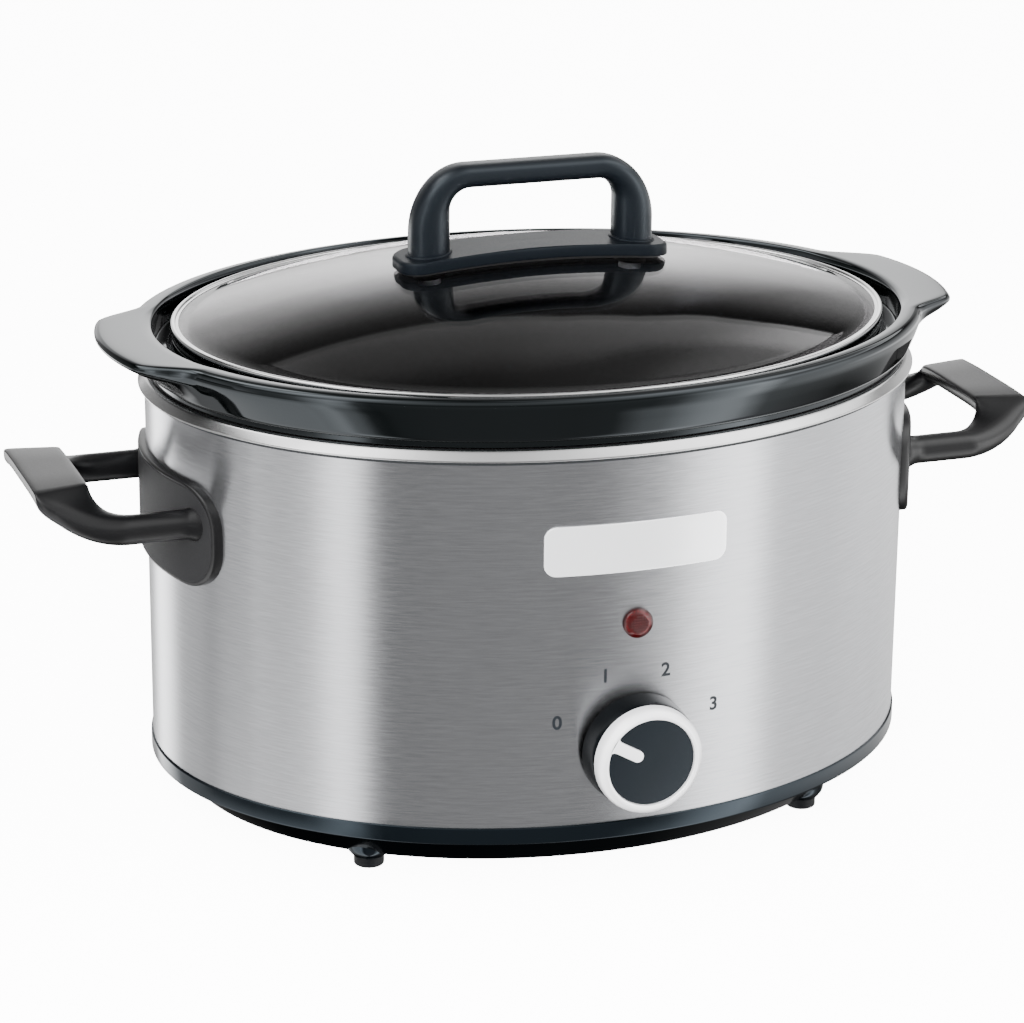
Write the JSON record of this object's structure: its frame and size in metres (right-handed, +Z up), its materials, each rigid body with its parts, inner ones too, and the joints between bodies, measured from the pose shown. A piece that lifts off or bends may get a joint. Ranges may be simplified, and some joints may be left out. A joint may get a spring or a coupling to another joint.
{
  "type": "slow cooker",
  "caption": "Oval slow cooker with a brushed steel housing, lift-out glazed crock, glass lid with a bow handle, side handles and a front rotary knob.",
  "frame": {"origin": "middle of the bounding box in plan, on the plane that the feet stand on", "axes": "+X along the long axis to the right seen from the front, +Y from the knob towards the rear, +Z up"},
  "size_m": [0.3966, 0.2576, 0.2453],
  "materials": {
    "brushed_stainless": "fine horizontal brushing",
    "polished_steel": "bright satin",
    "aluminised_steel": "rolled sheet",
    "gloss_black_moulding": "gloss",
    "charcoal_moulding": "satin, fine grain",
    "slate_moulding": "satin",
    "satin_silver_moulding": "satin silver paint",
    "black_glaze": "deep gloss glaze",
    "smoked_glass": "polished, smoke tinted",
    "rubber_foot": "matt",
    "black_silicone": "matt",
    "clear_silicone": "matt",
    "zinc_steel": "zinc plated",
    "brass_blade": "stamped",
    "phenolic_moulding": "moulded",
    "white_nylon": "moulded",
    "white_ceramic": "unglazed",
    "glass_fibre_tape": "woven tape",
    "polished_plate": "polished",
    "red_lens": "clear red, ribbed inside",
    "neon_glass": "clear",
    "blue_wire": "insulation",
    "red_wire": "insulation"
  },
  "bodies": {
    "base": {"housing_wrap": "brushed_stainless", "heating_well": "aluminised_steel", "base_pan": "gloss_black_moulding", "foot_front_left": "rubber_foot", "foot_front_right": "rubber_foot", "foot_rear_left": "rubber_foot", "foot_rear_right": "rubber_foot", "heater_band": "glass_fibre_tape", "heater_strap": "zinc_steel", "heat_shield": "aluminised_steel", "centre_stud": "zinc_steel", "stud_spacer": "zinc_steel", "shield_nut": "zinc_steel", "base_washer": "zinc_steel", "base_nut": "zinc_steel", "thermal_fuse": "white_ceramic", "switch_body": "phenolic_moulding", "switch_cover": "phenolic_moulding", "switch_terminals": "brass_blade", "switch_nut": "zinc_steel", "lamp_lens": "red_lens", "lamp_bulb": "neon_glass", "lamp_base": "white_nylon", "lamp_clip": "zinc_steel", "badge_plate": "polished_plate", "handle_left": "charcoal_moulding", "handle_right": "charcoal_moulding", "handle_bracket_left": "zinc_steel", "handle_bracket_right": "zinc_steel", "handle_screws_left": "zinc_steel", "handle_screws_right": "zinc_steel", "cord_gland": "charcoal_moulding", "gland_nut": "white_nylon", "terminal_block": "white_nylon", "switch_wires": "blue_wire", "heater_leads": "red_wire"},
    "crock": {"crock": "black_glaze"},
    "lid": {"lid_glass": "smoked_glass", "lid_rim": "polished_steel", "lid_handle": "slate_moulding", "lid_handle_plate": "slate_moulding", "lid_handle_gasket": "black_silicone", "lid_screws": "zinc_steel", "lid_washers": "clear_silicone"},
    "knob": {"switch_shaft": "zinc_steel", "knob_body": "gloss_black_moulding", "knob_disc": "slate_moulding", "knob_ring": "satin_silver_moulding"}
  },
  "joints": [
    {"name": "crock_lift", "type": "slide", "parent": "base", "child": "crock", "axis": [0, 0, 1], "range_m": [0, 0.13]},
    {"name": "lid_lift", "type": "slide", "parent": "crock", "child": "lid", "axis": [0, 0, 1], "range_m": [0, 0.1]},
    {"name": "knob_turn", "type": "hinge", "parent": "base", "child": "knob", "pos_m": [0, -0.1209, 0.0542], "axis": [0, 1, 0], "range_deg": [0, 120]}
  ]
}
